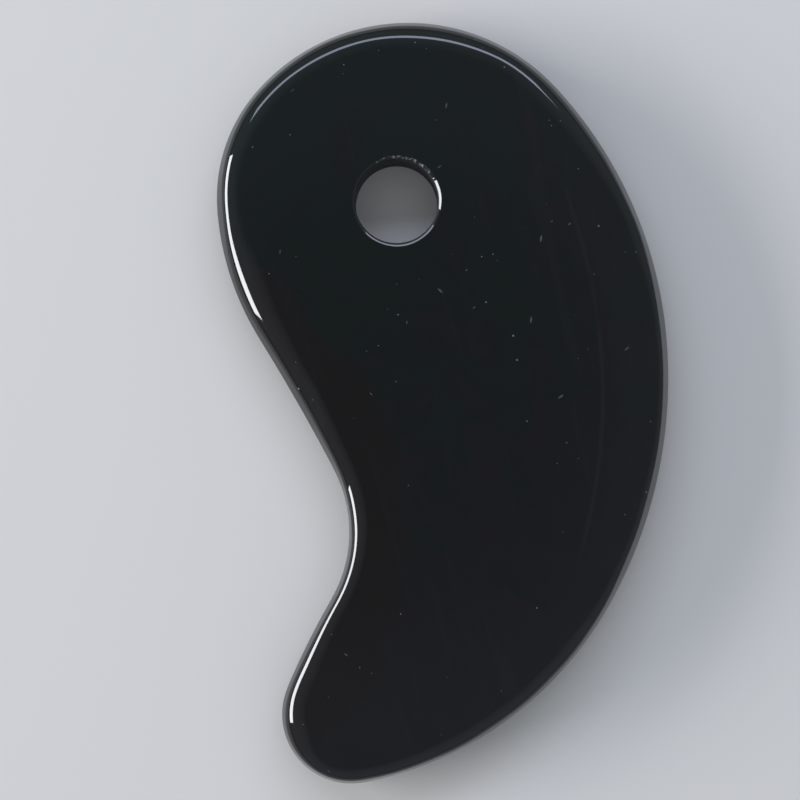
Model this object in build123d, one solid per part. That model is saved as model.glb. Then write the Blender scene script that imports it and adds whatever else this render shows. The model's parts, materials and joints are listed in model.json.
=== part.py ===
"""Gua sha scraper: a comma-shaped massage board, cut and polished from one slab of black stone.

Millimetres. The board lies flat on its underside, with +Z up. +Y runs along it, from the narrow tail to
the broad head, and +X points at the long convex back. The origin is under the middle of its bounding box,
at the height of the surface that it lies on.

The real board is one carved stone with nothing fitted to it, so the model is one solid in one node.
"""

import os
from math import asin, cos, degrees, radians, sin

from build123d import *

NODE = "scraper_body"

# The slab
THICKNESS = 7.0
EDGE_RADIUS = 3.0  # rounding of the rim above and below, with only a narrow wall left between the two

# The outline is a closed chain of tangent arcs, anticlockwise from the widest point of the back.
# Each has a name, a radius and the angle that it turns through. A negative angle makes a hollow.
FREE = None  # a radius that follows from closing the chain
START_HEADING = 90.0
CHAIN = [
    ("upper_back", 56.0, 35.6),
    ("crown", FREE, 95.6),
    ("cheek", 21.6, 45.8),
    ("jaw", 38.0, 27.4),
    ("flank", 270.0, -4.3),
    ("waist", 17.8, -57.5),
    ("shin", 110.0, 6.9),
    ("tip", 9.25, 124.1),
    ("belly", 48.0, 49.5),
    ("lower_back", FREE, 36.9),
]

# The round hole through the head, for a fingertip or a hanging cord
HOLE_CENTRE = (-4.7, 26.0)
HOLE_RADIUS = 5.5
HOLE_LIP = 0.45  # rounding where the hole meets the two faces

# Both faces curve gently down towards the back, which makes it the thinner, scraping edge.
# The fall starts at a wide circle, and runs out by itself where the outline lies inside that circle.
FALL_CENTRE = (-55.7, 6.9)
FALL_START = 75.2  # radius of that circle
FALL_CURVE = 120.0  # radius of the fall's own curve, seen in section
FALL_REACH = 15.0  # how far out the cut runs, which is beyond the back


def free_radii():
    """The two free radii that bring the end of the chain back to its start.

    An arc moves the end by its radius times a step that depends only on its headings. So the two
    conditions of closing, along X and along Y, are linear in the two free radii.
    """
    heading = START_HEADING
    known = Vector(0, 0)
    free_steps = []
    for _, radius, turn in CHAIN:
        side = 1 if turn > 0 else -1
        before = radians(heading)
        after = radians(heading + turn)
        step = Vector(sin(after) - sin(before), cos(before) - cos(after)) * side
        if radius is FREE:
            free_steps.append(step)
        else:
            known += step * radius
        heading += turn
    first, second = free_steps
    area = first.X * second.Y - first.Y * second.X
    return [
        (known.Y * second.X - known.X * second.Y) / area,
        (known.X * first.Y - known.Y * first.X) / area,
    ]


def outline():
    """The outline as a face, with its bounding box centred on the origin."""
    free = iter(free_radii())
    point = Vector(0, 0)
    heading = START_HEADING
    arcs = []
    for _, radius, turn in CHAIN:
        size = next(free) if radius is FREE else radius
        tangent = (cos(radians(heading)), sin(radians(heading)))
        arc = JernArc(start=point, tangent=tangent, radius=size, arc_size=turn)
        arcs.append(arc)
        point = arc @ 1
        heading += turn
    face = make_face(arcs)
    return Pos(*(-face.bounding_box().center())) * face


def fall_cutter():
    """What is taken off the upper face: a ring whose floor leaves that face tangent and curves down."""
    start = (FALL_START, THICKNESS)
    sweep = degrees(asin(FALL_REACH / FALL_CURVE))
    floor = CenterArc((FALL_START, THICKNESS - FALL_CURVE), FALL_CURVE, 90, -sweep)
    outer = (FALL_START + FALL_REACH, 2 * THICKNESS)
    inner = (FALL_START, 2 * THICKNESS)
    section = make_face(floor + Polyline(floor @ 1, outer, inner, start))
    return Pos(*FALL_CENTRE) * revolve(Plane.XZ * section, Axis.Z)


def is_rim(edge):
    """True for the edges between a face and the side wall, and false for the start of the fall."""
    if edge.geom_type == GeomType.LINE:
        return False
    return edge.geom_type != GeomType.CIRCLE or abs(edge.radius - FALL_START) > 0.01


def board():
    """The slab with its falling faces and its rounded rim."""
    upper = fall_cutter()
    lower = mirror(upper, Plane.XY.offset(THICKNESS / 2))
    slab = extrude(outline(), THICKNESS) - upper - lower
    return fillet(slab.edges().filter_by(is_rim), EDGE_RADIUS)


def scraper():
    """The whole board, with its lipped hole."""
    drill = Pos(*HOLE_CENTRE) * extrude(Circle(HOLE_RADIUS), THICKNESS)
    drilled = board() - drill
    lips = [
        edge
        for edge in drilled.edges().filter_by(GeomType.CIRCLE)
        if abs(edge.radius - HOLE_RADIUS) < 0.01
    ]
    return fillet(lips, HOLE_LIP)


def main():
    os.makedirs("parts", exist_ok=True)
    body = scraper().solid()
    body.label = NODE
    export_step(body, f"parts/{NODE}.step")
    size = body.bounding_box().size
    print(f"{NODE}: {size.X:.2f} x {size.Y:.2f} x {size.Z:.2f} mm, {body.volume / 1000:.2f} cm3")
    print("free radii:", ", ".join(f"{radius:.2f}" for radius in free_radii()))


main()
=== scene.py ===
"""Gua sha scraper: the looks of one comma-shaped board of polished black stone.

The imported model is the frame: metres, with the board lying on z = 0, +Y from its tail to its head and +X
towards its long convex back. Its CAD body gives the outline, the thickness and the hole. This script grows a
finer skin on them, with a rim, faces and a lip of the kind that grinding and polishing leave. Their sections
are guesses, because only reflections show them.

Lengths in this script are millimetres until a mesh, a light or the camera is made.
"""

import json
from math import cos, radians, sin, sqrt, tan

import bpy
import numpy as np
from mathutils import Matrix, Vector, noise
from mathutils.geometry import delaunay_2d_cdt


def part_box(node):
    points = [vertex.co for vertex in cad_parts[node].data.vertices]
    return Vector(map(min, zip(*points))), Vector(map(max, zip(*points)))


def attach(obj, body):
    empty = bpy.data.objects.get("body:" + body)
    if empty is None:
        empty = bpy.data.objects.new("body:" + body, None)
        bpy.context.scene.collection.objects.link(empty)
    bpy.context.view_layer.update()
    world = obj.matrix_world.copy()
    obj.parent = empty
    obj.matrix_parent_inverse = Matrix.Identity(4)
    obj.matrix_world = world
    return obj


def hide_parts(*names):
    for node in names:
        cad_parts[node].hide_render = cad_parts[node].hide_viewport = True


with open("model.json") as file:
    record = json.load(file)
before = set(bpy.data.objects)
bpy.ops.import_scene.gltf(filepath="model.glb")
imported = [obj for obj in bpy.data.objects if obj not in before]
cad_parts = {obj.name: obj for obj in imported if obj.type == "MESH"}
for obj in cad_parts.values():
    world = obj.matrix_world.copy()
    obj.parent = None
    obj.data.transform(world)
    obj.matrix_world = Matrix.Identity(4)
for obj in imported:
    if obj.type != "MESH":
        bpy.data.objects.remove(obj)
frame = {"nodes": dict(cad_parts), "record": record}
bpy.context.view_layer.update()

MM = 0.001
NODE = "scraper_body"
BODY = "root"
HOLE_MOUNT = "cord_hole"

# The faces fall towards the back, outside a wide circle, as on the CAD body
FALL_CENTRE = np.array([-55.7, 6.9])
FALL_START = 75.2
FALL_CURVE = 120.0

# How the rim is taken to be ground. From the waistline up, it is a small round, a steep facet, a tighter
# shoulder and a broad dome that meets the face at a slight break. Each row is a place along the outline,
# anticlockwise from the widest point of the back: its distance in mm, the facet's tilt from upright in
# degrees, the dome's radius in mm and the radius of the break in mm.
RIM_STATIONS = [
    (0, 23.0, 0.9, 2.0),  # back
    (12, 22.5, 2.0, 2.5),
    (35, 23.5, 3.8, 6.0),  # crown
    (54, 24.0, 3.8, 8.0),
    (70, 23.0, 3.6, 8.0),
    (83, 21.5, 3.8, 5.0),  # cheek
    (98, 23.5, 3.2, 5.0),  # jaw
    (108, 23.5, 5.4, 4.0),
    (124, 23.5, 3.6, 0.8),  # flank
    (142, 11.0, 3.1, 1.2),  # waist
    (154, 11.5, 2.5, 1.2),
    (164, 12.5, 3.5, 1.2),  # shin
    (172, 19.5, 4.2, 1.0),
    (180, 20.5, 2.2, 3.0),  # tip
    (196, 18.5, 2.5, 2.0),  # belly
    (217, 18.0, 2.4, 2.5),
    (238, 21.5, 1.1, 2.0),
]
WAISTLINE_ROUND = 1.0  # radius
SHOULDER_SHARE = 0.38  # the shoulder's radius as a share of the dome's
SHOULDER_TOP = radians(45)  # where the shoulder turns into the dome, as the normal's height angle
BREAK_SLOPE = radians(7)  # how much steeper the dome's inner end is than the face

WARM_POCKET = (-50, -13, 7)  # a brownish patch of the base colour reaches this far from here, across the waist
WARM_REACH = 42
FALL_HIGHLIGHT_END = 30  # the painted highlight line along the fall runs this far up and down from the middle

# The mesh, in mm and steps
OUTLINE_STEP = 0.36
CORNER_GAP = 0.4  # corners of the CAD outline closer than this are left out
FAIRING = 0.8  # how far the outline's unevenness is smoothed
FACE_STEP = 1.2
BORDER_GAP = 0.6  # of the face's grid from the rim and from the hole, as shares of its step
MOUTH_GAP = 0.5
HOLE_STEPS = 240
RIM_STEPS = {"round": 3, "facet": 3, "shoulder": 7, "dome": 16, "break": 5}

# The hole's lip is taken to be broken by hand: a small facet, then a round into the wall. Each row is a
# place round the hole, anticlockwise from +X in degrees: the facet's width in mm, the height angle of its
# normal in degrees, the round's radius in mm, and the depth of its chips in mm.
LIP_STATIONS = [
    (0, 0.42, 52, 0.30, 0.02),
    (30, 0.44, 52, 0.28, 0.04),
    (52, 0.44, 54, 0.22, 0.14),
    (88, 0.34, 58, 0.20, 0.12),
    (118, 0.20, 60, 0.20, 0.03),
    (180, 0.18, 60, 0.20, 0.02),
    (235, 0.22, 66, 0.42, 0.0),
    (270, 0.25, 68, 0.46, 0.0),
    (305, 0.25, 65, 0.42, 0.0),
    (335, 0.30, 58, 0.30, 0.01),
]
ROUGH_CHIP = 0.045  # chips this deep leave the lip unpolished
LIP_FACET = (0, 0.12, 0.88, 1)  # its rings, as shares of its width, close together where it turns
LIP_ROUND_STEPS = 6
LIP_MARGIN = 0.04  # of plain face round the mouth
WALL_RINGS = 8

# A hand polish leaves the faces and the rim not quite even
FACE_WAVE = 0.006  # height in mm
FACE_WAVE_REACH = (14, 22)  # mm across and along the board
TILT_WAVE = 0.8  # degrees
DOME_WAVE = 0.05  # share of the dome's radius


def along(table, place, length):
    """One column per value of a table of stations round a closed line of that length, eased between them."""
    table = np.array(table, float)
    stations = np.append(table[:, 0], length)
    values = np.vstack([table[:, 1:], table[0, 1:]])
    before = np.searchsorted(stations, place, side="right") - 1
    share = (place - stations[before]) / (stations[before + 1] - stations[before])
    eased = (share * share * (3 - 2 * share))[:, None]
    return (values[before] * (1 - eased) + values[before + 1] * eased).T


def wander(turns, waves, seed):
    """A smooth closed random wave of about unit height over turns of 0 to 1, with up to that many cycles."""
    dice = np.random.default_rng(seed)
    cycles = np.arange(1, waves + 1)
    height = dice.normal(size=waves) / sqrt(waves)
    start = dice.uniform(0, 2 * np.pi, waves)
    return (height * np.sin(2 * np.pi * np.outer(turns, cycles) + start)).sum(axis=1)


# ---------------------------------------------------------------- the outline, from the CAD body


def wall_corners(mesh, hole):
    """The plan places of the corners of the CAD body's upright side wall, which lie on its outline."""
    upright = [face for face in mesh.polygons if abs(face.normal.z) < 0.02]
    corners = {i for face in upright for i in face.vertices}
    places = np.array([mesh.vertices[i].co[:2] for i in sorted(corners)]) / MM
    from_hole = np.hypot(*(places - hole["centre"]).T)
    return places[from_hole > 2 * hole["radius"]]


def in_order(places):
    """The places as a chain round the outline, from the widest point of the back, less any that crowd."""
    left = [tuple(place) for place in places]
    chain = [max(left)]
    while left:
        last = np.array(chain[-1])
        nearest = min(left, key=lambda place: np.hypot(*(np.array(place) - last)))
        left.remove(nearest)
        far_enough = [np.hypot(*(np.array(nearest) - end)) > CORNER_GAP for end in (chain[0], last)]
        if all(far_enough):
            chain.append(nearest)
    chain = np.array(chain)
    x, y = chain.T
    anticlockwise = np.sum(x * np.roll(y, -1) - y * np.roll(x, -1)) > 0
    return chain if anticlockwise else np.roll(chain[::-1], 1, axis=0)


def smooth_loop(corners, count):
    """A closed cubic spline through the corners, as that many evenly spaced points."""
    n = len(corners)
    gap = np.hypot(*(np.roll(corners, -1, axis=0) - corners).T)
    slope = (np.roll(corners, -1, axis=0) - corners) / gap[:, None]
    system = np.zeros((n, n))
    for i in range(n):
        system[i, i - 1] += gap[i - 1]
        system[i, i] += 2 * (gap[i - 1] + gap[i])
        system[i, (i + 1) % n] += gap[i]
    bend = np.linalg.solve(system, 6 * (slope - np.roll(slope, 1, axis=0)))
    knots = np.append(0, np.cumsum(gap))
    place = np.arange(count) * knots[-1] / count
    i = np.searchsorted(knots, place, side="right") - 1
    j = (i + 1) % n
    after = (place - knots[i])[:, None]
    before = (knots[i + 1] - place)[:, None]
    h = gap[i][:, None]
    curved = (bend[i] * before**3 + bend[j] * after**3) / (6 * h)
    straight = (corners[i] / h - bend[i] * h / 6) * before + (corners[j] / h - bend[j] * h / 6) * after
    return curved + straight


def faired(loop, reach):
    """The closed row of points with its unevenness smoothed over about that many neighbours."""
    waves = np.fft.fft(loop, axis=0)
    turn = 2 * np.pi * np.fft.fftfreq(len(loop))
    return np.fft.ifft(waves * np.exp(-((turn * reach) ** 2) / 2)[:, None], axis=0).real


def outward(loop):
    """The outward unit normals of an anticlockwise loop of points."""
    tangent = np.roll(loop, -1, axis=0) - np.roll(loop, 1, axis=0)
    tangent /= np.hypot(*tangent.T)[:, None]
    return np.column_stack([tangent[:, 1], -tangent[:, 0]])


# ---------------------------------------------------------------- the skin


def fall(places):
    """How far each face has fallen at these plan places, and how steeply."""
    out = np.maximum(np.hypot(*(places - FALL_CENTRE).T) - FALL_START, 0)
    drop = FALL_CURVE - np.sqrt(FALL_CURVE**2 - out**2)
    across, lengthwise = FACE_WAVE_REACH
    wave = [noise.noise((x / across, y / lengthwise, 0.5)) for x, y in places]
    return drop + FACE_WAVE * (1 + np.array(wave)), out / FALL_CURVE


def rim_rings(loop, normals, half):
    """The rings of the rim's upper half, from the waistline to the face, as plan places and heights."""
    length = np.hypot(*(np.roll(loop, -1, axis=0) - loop).T).sum()
    place = np.arange(len(loop)) * length / len(loop)
    tilt, dome, brk = along(RIM_STATIONS, place, length)
    tilt = np.radians(tilt + TILT_WAVE * wander(place / length, 30, seed=3))
    dome = dome * (1 + DOME_WAVE * wander(place / length, 24, seed=8))
    shoulder = dome * SHOULDER_SHARE
    reach = np.full(len(loop), 2.0)
    for _ in range(4):  # the face's own height and slope, where the rim ends, settle in a few rounds
        inner = loop - normals * reach[:, None]
        drop, steep = fall(inner)
        slope = steep * np.sum(normals * (inner - FALL_CENTRE), axis=1) / FALL_START
        end = np.arctan(np.clip(slope, 0, 1))
        dome_end = np.pi / 2 - end - BREAK_SLOPE
        pieces = [
            (np.full_like(dome, WAISTLINE_ROUND), np.zeros_like(tilt), tilt),
            (shoulder, tilt, np.full_like(tilt, SHOULDER_TOP)),
            (dome, np.full_like(tilt, SHOULDER_TOP), dome_end),
            (brk, dome_end, np.pi / 2 - end),
        ]
        rise = sum(r * (np.sin(high) - np.sin(low)) for r, low, high in pieces)
        inset = sum(r * (np.cos(low) - np.cos(high)) for r, low, high in pieces)
        facet = half - drop - rise
        reach = inset + facet * np.tan(tilt)
    rings = [(np.zeros_like(tilt), np.zeros_like(tilt))]

    def arc(radius, low, high, steps):
        """Adds rings along a round whose normal climbs from one height angle to another."""
        x, z = rings[-1]
        for k in range(1, steps + 1):
            angle = low + (high - low) * k / steps
            inward = radius * (np.cos(low) - np.cos(angle))
            upward = radius * (np.sin(angle) - np.sin(low))
            rings.append((x + inward, z + upward))

    arc(*pieces[0], RIM_STEPS["round"])
    x, z = rings[-1]
    for k in range(1, RIM_STEPS["facet"] + 1):
        share = k / RIM_STEPS["facet"]
        rings.append((x + facet * np.tan(tilt) * share, z + facet * share))
    arc(*pieces[1], RIM_STEPS["shoulder"])
    arc(*pieces[2], RIM_STEPS["dome"])
    arc(*pieces[3], RIM_STEPS["break"])
    return [(loop - normals * x[:, None], z) for x, z in rings]


def lip_rings(hole, half):
    """The rings from the lip's mouth, on the face, to the hole's mid-height, as plan places and heights."""
    turns = np.arange(HOLE_STEPS) / HOLE_STEPS
    width, facing, bend, chip = along(LIP_STATIONS, 360 * turns, 360)
    facing = np.radians(facing)
    bite = chip * np.abs(wander(turns, 60, seed=5))
    ray = np.column_stack([np.cos(2 * np.pi * turns), np.sin(2 * np.pi * turns)])
    facet_in, facet_down = width * np.sin(facing), width * np.cos(facing)
    round_in = bend * (1 - np.cos(facing))
    mouth, _ = fall(hole["centre"] + ray * (hole["radius"] + facet_in + round_in)[:, None])
    rings = [(facet_in + round_in + LIP_MARGIN, mouth)]
    for share in LIP_FACET:
        bitten = bite * sin(np.pi / 2 * share)
        rings.append((round_in + facet_in * (1 - share) + bitten, mouth + facet_down * share + bitten / 2))
    for k in range(1, LIP_ROUND_STEPS + 1):
        left = 1 - k / LIP_ROUND_STEPS
        out = bend * (1 - np.cos(facing * left)) + bite * left
        fallen = bend * (np.sin(facing) - np.sin(facing * left)) + bite * left / 2
        rings.append((out, mouth + facet_down + fallen))
    lip_foot = rings[-1][1]
    for k in range(1, WALL_RINGS + 1):
        rings.append((np.zeros(HOLE_STEPS), lip_foot + (half - lip_foot) * k / WALL_RINGS))
    return [(hole["centre"] + ray * (hole["radius"] + out)[:, None], half - down) for out, down in rings]


def face_places(border, hole_mouth):
    """Plan places of a triangular grid inside the border loop and outside the hole's mouth."""
    low, high = border.min(axis=0), border.max(axis=0)
    row = FACE_STEP * sqrt(3) / 2
    grid = np.array(
        [
            (x + FACE_STEP / 2 * (j % 2), low[1] + row * j)
            for j in range(int((high[1] - low[1]) / row) + 1)
            for x in np.arange(low[0], high[0], FACE_STEP)
        ]
    )
    normals = outward(border)
    hole_centre = hole_mouth.mean(axis=0)
    hole_reach = np.hypot(*(hole_mouth[0] - hole_centre))
    kept = []
    for place in grid:
        away = place - border
        nearest = np.argmin(np.hypot(*away.T))
        inside = -np.dot(away[nearest], normals[nearest])
        from_hole = np.hypot(*(place - hole_mouth).T).min()
        in_hole = np.hypot(*(place - hole_centre)) < hole_reach
        if inside > BORDER_GAP * FACE_STEP and from_hole > MOUTH_GAP * FACE_STEP and not in_hole:
            kept.append(place)
    return np.array(kept)


def triangles(border, hole_mouth, grid):
    """Triangles over the face, as indices into border, hole mouth and grid in that order."""
    places = np.vstack([border, hole_mouth, grid])
    mouth = range(len(border), len(border) + len(hole_mouth))
    loops = [(0, len(border)), (mouth.start, len(mouth))]
    edges = [(start + i, start + (i + 1) % count) for start, count in loops for i in range(count)]
    made = delaunay_2d_cdt([Vector(place) for place in places], edges, [], 1, 1e-7)
    origin = [indices[0] for indices in made[3]]
    faces = []
    for face in made[2]:
        corners = [origin[i] for i in face]
        a, b, c = places[sorted(corners)]
        along_the_mouth = all(i in mouth for i in corners)
        turn = (b[0] - a[0]) * (c[1] - a[1]) - (b[1] - a[1]) * (c[0] - a[0])
        if not (along_the_mouth and turn > 0):  # such a triangle would lie across the open hole
            faces.append(corners)
    return faces


class Skin:
    """Vertices and faces as they are gathered, in mm, then made into one mesh."""

    def __init__(self, half):
        self.half = half
        self.rows, self.faces, self.slots, self.count = [], [], [], 0

    def add(self, plan, height):
        """Adds a row of vertices, with heights above the mid-plane, and gives its first index."""
        self.rows.append(np.column_stack([plan, self.half + height]))
        self.count += len(plan)
        return self.count - len(plan)

    def face(self, corners, slot=0):
        """Adds one face with its material slot."""
        self.faces.append(corners)
        self.slots.append(slot)

    def sew(self, starts, around, slot=0):
        """Quads between closed rows of equal length. The material slot is one for all, or one per column."""
        for low, high in zip(starts, starts[1:]):
            for i, own_slot in enumerate(np.broadcast_to(slot, around)):
                j = (i + 1) % around
                self.face((low + i, low + j, high + j, high + i), int(own_slot))

    def mesh(self, name):
        """All that was gathered, as one smooth mesh in metres."""
        mesh = bpy.data.meshes.new(name)
        mesh.from_pydata((np.vstack(self.rows) * MM).tolist(), [], self.faces)
        mesh.polygons.foreach_set("material_index", self.slots)
        mesh.polygons.foreach_set("use_smooth", [True] * len(self.faces))
        mesh.validate()
        return mesh


def board_mesh(cad, hole, half):
    """The skin: rim, two faces and hole wall, as one closed mesh in metres."""
    corners = in_order(wall_corners(cad.data, hole))
    perimeter = np.hypot(*(np.roll(corners, -1, axis=0) - corners).T).sum()
    around = round(perimeter / OUTLINE_STEP)
    loop = faired(smooth_loop(corners, around), FAIRING / OUTLINE_STEP)
    rim = rim_rings(loop, outward(loop), half)
    lip = lip_rings(hole, half)
    grid = face_places(rim[-1][0], lip[0][0])
    drop, _ = fall(grid)
    cover = triangles(rim[-1][0], lip[0][0], grid)

    skin = Skin(half)
    under = [skin.add(plan, -height) for plan, height in rim[:0:-1]]
    over = [skin.add(plan, height) for plan, height in rim]
    skin.sew(under + over, around)
    lip_over = [skin.add(plan, height) for plan, height in lip]
    lip_under = [skin.add(plan, -height) for plan, height in lip[-2::-1]]
    wall = lip_over + lip_under
    polished = len(LIP_FACET) + 1
    chip = along(LIP_STATIONS, np.arange(HOLE_STEPS) * 360 / HOLE_STEPS, 360)[3]
    chipped = np.where(chip > ROUGH_CHIP, 2, 0)
    skin.sew(wall[:polished], HOLE_STEPS, chipped)
    skin.sew(wall[polished - 1 : -polished + 1], HOLE_STEPS, slot=1)
    skin.sew(wall[-polished:], HOLE_STEPS, chipped)
    for rim_start, lip_start, height in ((over[-1], wall[0], half - drop), (under[0], wall[-1], drop - half)):
        grid_start = skin.add(grid, height)
        row_starts = np.repeat([rim_start, lip_start, grid_start], [around, HOLE_STEPS, len(grid)])
        within_row = np.concatenate([np.arange(around), np.arange(HOLE_STEPS), np.arange(len(grid))])
        vertex = (row_starts + within_row).tolist()
        for triangle in cover:
            corners = [vertex[i] for i in triangle]
            skin.face(corners if rim_start == over[-1] else corners[::-1])
    return skin.mesh("gua_sha_board")


# ---------------------------------------------------------------- materials

STONE_IOR = 1.54


def add_node(tree, kind, inputs, **settings):
    """A new node. Inputs are socket values, or other nodes' sockets to link from."""
    node = tree.nodes.new(kind)
    for name, value in settings.items():
        setattr(node, name, value)
    for name, value in inputs.items():
        if isinstance(value, bpy.types.NodeSocket):
            tree.links.new(value, node.inputs[name])
        else:
            node.inputs[name].default_value = value
    return node


def calculate(tree, operation, *values):
    """The result of one sum on values or sockets."""
    return add_node(tree, "ShaderNodeMath", dict(enumerate(values)), operation=operation).outputs[0]


def tone(colour_or_grey):
    """A socket's colour with its alpha, from a colour or one grey value."""
    return (*colour_or_grey, 1) if isinstance(colour_or_grey, tuple) else (colour_or_grey,) * 3 + (1,)


def ramp(tree, value, *stops):
    """An eased colour ramp: stops are (position, colour or grey)."""
    node = add_node(tree, "ShaderNodeValToRGB", {"Fac": value})
    elements = node.color_ramp.elements
    node.color_ramp.interpolation = "EASE"
    while len(elements) < len(stops):
        elements.new(1)
    for element, (position, colour) in zip(elements, stops):
        element.position = position
        element.color = tone(colour)
    return node.outputs["Color"]


def mix(tree, share, first, second):
    """The first colour at share 0, the second at 1."""
    inputs = {0: share, 6: first, 7: second}
    return add_node(tree, "ShaderNodeMix", inputs, data_type="RGBA").outputs[2]


def stone_places(tree, stretch=(1, 1, 1), turn=0):
    """The object's own coordinates in mm, turned about Z and then stretched."""
    own = tree.nodes.new("ShaderNodeTexCoord").outputs["Object"]
    turned = add_node(tree, "ShaderNodeVectorRotate", {"Vector": own, "Angle": radians(turn)})
    scale = [s / MM for s in stretch]
    scaled = add_node(tree, "ShaderNodeVectorMath", {0: turned.outputs[0], 1: scale}, operation="MULTIPLY")
    return scaled.outputs[0]


def mottle(tree, places, scale, detail=2.0, distortion=0.0):
    """Smooth random clouds between 0 and 1."""
    inputs = {"Vector": places, "Scale": scale, "Detail": detail, "Distortion": distortion}
    return add_node(tree, "ShaderNodeTexNoise", inputs).outputs["Fac"]


def blank(name):
    """A new material, with its node tree and its shader."""
    material = bpy.data.materials.new(name)
    material.use_nodes = True
    return material, material.node_tree, material.node_tree.nodes["Principled BSDF"]


def specks(tree, places, share):
    """1 inside small round specks of several sizes, scattered over that share of random cells, else 0."""
    cells = add_node(tree, "ShaderNodeTexVoronoi", {"Vector": places, "Scale": 0.62})
    dice = add_node(tree, "ShaderNodeSeparateColor", {"Color": cells.outputs["Color"]}).outputs
    chosen = calculate(tree, "LESS_THAN", dice[0], share)
    size = calculate(tree, "MULTIPLY_ADD", calculate(tree, "POWER", dice[1], 3.0), 0.8, 0.55)
    close = ramp(tree, calculate(tree, "DIVIDE", cells.outputs["Distance"], size), (0.035, 1.0), (0.085, 0.0))
    return calculate(tree, "MULTIPLY", close, chosen)


def scratches(tree, turn):
    """Faint straight polishing scratches along one direction."""
    field = mottle(tree, stone_places(tree, (9, 0.3, 9), turn), 1.0, detail=1.0)
    return ramp(tree, field, (0.68, 0.0), (0.8, 1.0))


def dark_tint_clouds(tree, places):
    """Near-black base colour in faint green, slate and brown clouds with lighter long streaks, greener
    towards the head and slate towards the tail.
    """
    long_clouds = mottle(tree, stone_places(tree, (0.09, 0.022, 0.09), -8), 1.0, detail=4.0, distortion=1.2)
    cloud = mottle(tree, places, 0.17, detail=4.0, distortion=0.6)
    height = add_node(tree, "ShaderNodeSeparateXYZ", {"Vector": places}).outputs["Y"]
    slate = calculate(tree, "MULTIPLY_ADD", height, -0.006, -0.3)
    slate = calculate(tree, "MULTIPLY_ADD", long_clouds, 0.6, slate)
    slate = calculate(tree, "MULTIPLY_ADD", cloud, 1.0, slate)
    colour = ramp(
        tree,
        slate,
        (0.34, (0.0002, 0.0032, 0.0026)),
        (0.5, (0.0012, 0.0024, 0.0024)),
        (0.62, (0.0034, 0.0024, 0.0040)),
        (0.9, (0.0040, 0.0032, 0.0050)),
    )
    from_pocket = add_node(tree, "ShaderNodeVectorMath", {0: places, 1: WARM_POCKET}, operation="DISTANCE")
    edge = calculate(tree, "MULTIPLY_ADD", mottle(tree, places, 0.09, detail=3.0, distortion=0.8), 10, -5)
    warmth = calculate(tree, "DIVIDE", calculate(tree, "ADD", from_pocket.outputs["Value"], edge), WARM_REACH)
    colour = mix(tree, ramp(tree, warmth, (0.92, 1.0), (1.0, 0.0)), colour, tone((0.0034, 0.0016, 0.0013)))
    streak = mottle(tree, stone_places(tree, (0.3, 0.03, 0.3), -5), 1.0, detail=3.0, distortion=1.0)
    return mix(tree, ramp(tree, streak, (0.56, 0.0), (0.72, 0.4)), colour, tone((0.0056, 0.0062, 0.0068)))


def painted_fall_highlight(tree, places):
    """1 along the faint line where each face starts to fall towards the back, broken up at random: a painted
    highlight.
    """
    centre = (*FALL_CENTRE, 0)
    flat = add_node(tree, "ShaderNodeVectorMath", {0: places, 1: (1, 1, 0)}, operation="MULTIPLY").outputs[0]
    out = add_node(tree, "ShaderNodeVectorMath", {0: flat, 1: centre}, operation="DISTANCE").outputs["Value"]
    off = calculate(tree, "ABSOLUTE", calculate(tree, "SUBTRACT", out, FALL_START))
    # random gaps in the painted highlight line
    highlight_gaps = ramp(tree, mottle(tree, places, 0.06, detail=3.0), (0.4, 0.0), (0.6, 1.0))
    height = add_node(tree, "ShaderNodeSeparateXYZ", {"Vector": places}).outputs["Y"]
    share = calculate(tree, "DIVIDE", calculate(tree, "ABSOLUTE", height), FALL_HIGHLIGHT_END)
    line = calculate(tree, "MULTIPLY", ramp(tree, off, (0.05, 1.0), (0.45, 0.0)), highlight_gaps)
    return calculate(tree, "MULTIPLY", line, ramp(tree, share, (0.6, 1.0), (1.0, 0.0)))


def polished_stone():
    """Black volcanic glass under a hand polish, with a little dust, a few fibres, faint scratches and a
    painted highlight line.
    """
    material, tree, shader = blank("polished_black_stone")
    places = stone_places(tree)
    marks = specks(tree, places, 0.4)
    for turn in (15, 62, -40):
        fibre = specks(tree, stone_places(tree, (1, 0.3, 1), turn), 0.18)
        marks = calculate(tree, "MAXIMUM", marks, calculate(tree, "MULTIPLY", fibre, 0.5))
    # painted highlight: a lighter base colour along the line where each face starts to fall
    colour = mix(tree, painted_fall_highlight(tree, places), dark_tint_clouds(tree, places), tone((0.006, 0.007, 0.0078)))
    colour = mix(tree, marks, colour, tone((0.15, 0.16, 0.165)))
    tree.links.new(colour, shader.inputs["Base Color"])

    smudge = ramp(tree, mottle(tree, places, 0.07, detail=5.0), (0.5, 0.0), (0.75, 1.0))
    worn = calculate(tree, "MAXIMUM", scratches(tree, 25), scratches(tree, -62))
    roughness = calculate(tree, "MULTIPLY_ADD", smudge, 0.05, 0.035)
    roughness = calculate(tree, "MULTIPLY_ADD", worn, 0.04, roughness)
    roughness = calculate(tree, "MULTIPLY_ADD", marks, 0.5, roughness)
    tree.links.new(roughness, shader.inputs["Roughness"])
    peel = mottle(tree, places, 0.7, detail=2.0)
    inputs = {"Strength": 1.0, "Distance": 0.0006 * MM, "Height": peel}
    tree.links.new(add_node(tree, "ShaderNodeBump", inputs).outputs[0], shader.inputs["Normal"])
    shader.inputs["IOR"].default_value = STONE_IOR
    return material


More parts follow.
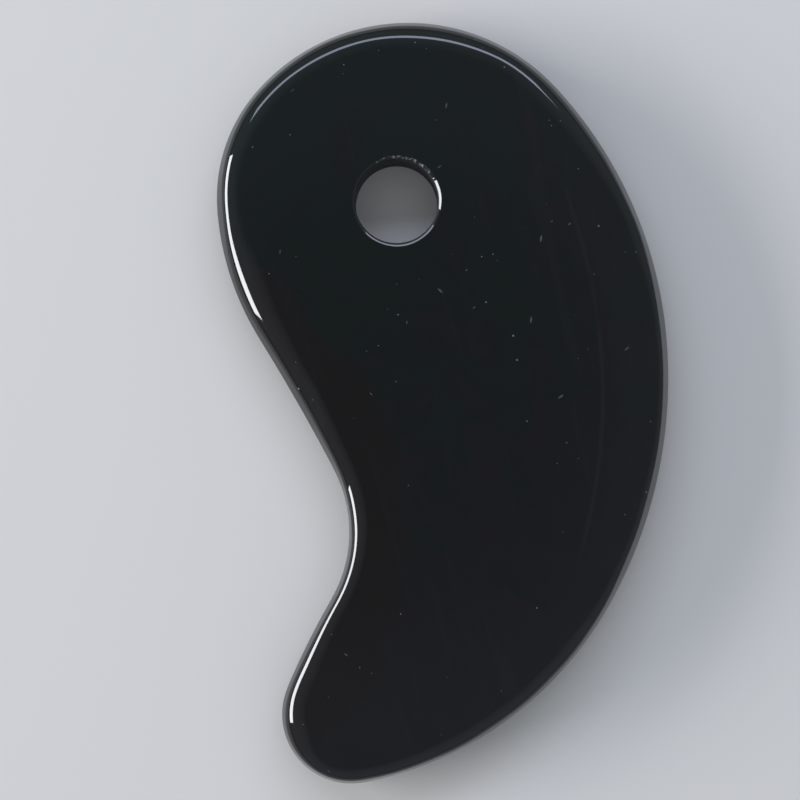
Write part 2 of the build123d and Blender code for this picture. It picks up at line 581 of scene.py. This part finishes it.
def drilled_stone():
    """The hole's wall: the same stone as the drill left it, hardly polished."""
    material, tree, shader = blank("drilled_black_stone")
    rings = mottle(tree, stone_places(tree, (0.5, 0.5, 5)), 1.0, detail=3.0)
    grit = mottle(tree, stone_places(tree), 3.0, detail=3.0)
    colour = ramp(tree, grit, (0.4, (0.003, 0.0033, 0.0035)), (0.7, (0.011, 0.011, 0.012)))
    tree.links.new(colour, shader.inputs["Base Color"])
    tree.links.new(calculate(tree, "MULTIPLY_ADD", rings, 0.25, 0.45), shader.inputs["Roughness"])
    inputs = {"Strength": 1.0, "Distance": 0.02 * MM, "Height": calculate(tree, "ADD", rings, grit)}
    tree.links.new(add_node(tree, "ShaderNodeBump", inputs).outputs[0], shader.inputs["Normal"])
    shader.inputs["IOR"].default_value = STONE_IOR
    return material


def chipped_stone():
    """The lip where it is chipped: small breaks, rough and bumpy, with glints painted into the base colour as
    light grey blotches.
    """
    material, tree, shader = blank("chipped_black_stone")
    breaks = mottle(tree, stone_places(tree), 2.2, detail=4.0)
    # painted glints: light grey blotches in the chips' base colour; the roughness and bumps below are real
    painted_glints = ramp(tree, breaks, (0.45, (0.012, 0.012, 0.013)), (0.62, (0.2, 0.2, 0.21)))
    tree.links.new(painted_glints, shader.inputs["Base Color"])
    tree.links.new(ramp(tree, breaks, (0.35, 0.12), (0.65, 0.42)), shader.inputs["Roughness"])
    inputs = {"Strength": 1.0, "Distance": 0.12 * MM, "Height": breaks}
    tree.links.new(add_node(tree, "ShaderNodeBump", inputs).outputs[0], shader.inputs["Normal"])
    shader.inputs["IOR"].default_value = STONE_IOR
    return material


def pale_floor():
    """The plain matt floor."""
    material, _, shader = blank("pale_floor")
    shader.inputs["Base Color"].default_value = (0.8, 0.77, 0.73, 1)
    shader.inputs["Roughness"].default_value = 0.9
    return material


# ---------------------------------------------------------------- the board

low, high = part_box(NODE)
half_thickness = (high.z - low.z) / 2 / MM
mount = next(m for m in frame["record"]["mounts"] if m["name"] == HOLE_MOUNT)
hole = {"centre": np.array(mount["pos_m"][:2]) / MM, "radius": mount["dims"]["r_mm"]}

board = bpy.data.objects.new("gua_sha_board", board_mesh(frame["nodes"][NODE], hole, half_thickness))
bpy.context.scene.collection.objects.link(board)
board.data.materials.append(polished_stone())
board.data.materials.append(drilled_stone())
board.data.materials.append(chipped_stone())
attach(board, BODY)
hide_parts(NODE)

# ---------------------------------------------------------------- floor, light and camera

ROLL = radians(-7.45)  # of the camera about the vertical
UP = Vector((-sin(ROLL), cos(ROLL), 0))  # towards the top of the picture
RIGHT = Vector((cos(ROLL), sin(ROLL), 0))
LIGHT_DISTANCE = 1.2

# The studio is one even dim room, brightest part of the way up
ROOM = (0.92, 1.0, 1.1)
ROOM_STOPS = ((0, 0.25), (20, 0.42), (46, 0.42), (62, 0.36), (78, 0.27), (90, 0.21))  # elevation, radiance

CAMERA_HEIGHT = 0.209  # above the board's mid-plane
VIEW_WIDTH = 0.10686  # at the mid-plane
VIEW_CENTRE = (-0.00763, 0.0)
SENSOR = 36


def direction(bearing, elevation):
    """A unit vector. Bearing is clockwise from the top of the picture, elevation above the horizon."""
    b, e = radians(bearing), radians(elevation)
    return (UP * cos(b) + RIGHT * sin(b)) * cos(e) + Vector((0, 0, sin(e)))


def panel(name, bearing, elevation, span, rise, radiance, colour):
    """A flat soft light that faces the board, and spans these degrees along the horizon and up from it."""
    width = 2 * LIGHT_DISTANCE * cos(radians(elevation)) * tan(radians(span / 2))
    height = 2 * LIGHT_DISTANCE * tan(radians(rise / 2))
    data = bpy.data.lights.new(name, "AREA")
    data.shape = "RECTANGLE"
    data.size, data.size_y = width, height
    data.energy = radiance * np.pi * width * height
    data.color = colour
    lamp = bpy.data.objects.new(name, data)
    lamp.location = direction(bearing, elevation) * LIGHT_DISTANCE
    lamp.rotation_euler = lamp.location.to_track_quat("Z", "Y").to_euler()
    bpy.context.scene.collection.objects.link(lamp)


def surroundings():
    """An even dim room, the same on every side."""
    world = bpy.data.worlds.new("studio")
    world.use_nodes = True
    tree = world.node_tree
    ray = tree.nodes.new("ShaderNodeTexCoord").outputs["Generated"]
    climb = add_node(tree, "ShaderNodeSeparateXYZ", {"Vector": ray}).outputs["Z"]
    stops = [(sin(radians(height)), tuple(level * c for c in ROOM)) for height, level in ROOM_STOPS]
    tree.links.new(ramp(tree, climb, *stops), tree.nodes["Background"].inputs["Color"])
    return world


FLOOR_REACH = 3.0
FLOOR_DROP = 0.00002  # so that the board's flat underside doesn't share its plane
floor_mesh = bpy.data.meshes.new("floor")
corners = [(x * FLOOR_REACH, y * FLOOR_REACH, -FLOOR_DROP) for x, y in ((-1, -1), (1, -1), (1, 1), (-1, 1))]
floor_mesh.from_pydata(corners, [], [(0, 1, 2, 3)])
floor_mesh.materials.append(pale_floor())
floor = bpy.data.objects.new("floor", floor_mesh)
bpy.context.scene.collection.objects.link(floor)

panel("key_softbox", 272, 15, 44, 14, 17, (0.98, 0.99, 1.02))
panel("top_softbox", 355, 40, 90, 9, 5, (0.8, 0.9, 1.15))
bpy.context.scene.world = surroundings()

camera_data = bpy.data.cameras.new("camera")
camera_data.sensor_width = SENSOR
camera_data.lens = SENSOR * CAMERA_HEIGHT / VIEW_WIDTH
camera = bpy.data.objects.new("camera", camera_data)
camera.location = (*VIEW_CENTRE, half_thickness * MM + CAMERA_HEIGHT)
camera.rotation_euler = (0, 0, ROLL)
bpy.context.scene.collection.objects.link(camera)
bpy.context.scene.camera = camera
bpy.context.scene.view_settings.view_transform = "Standard"
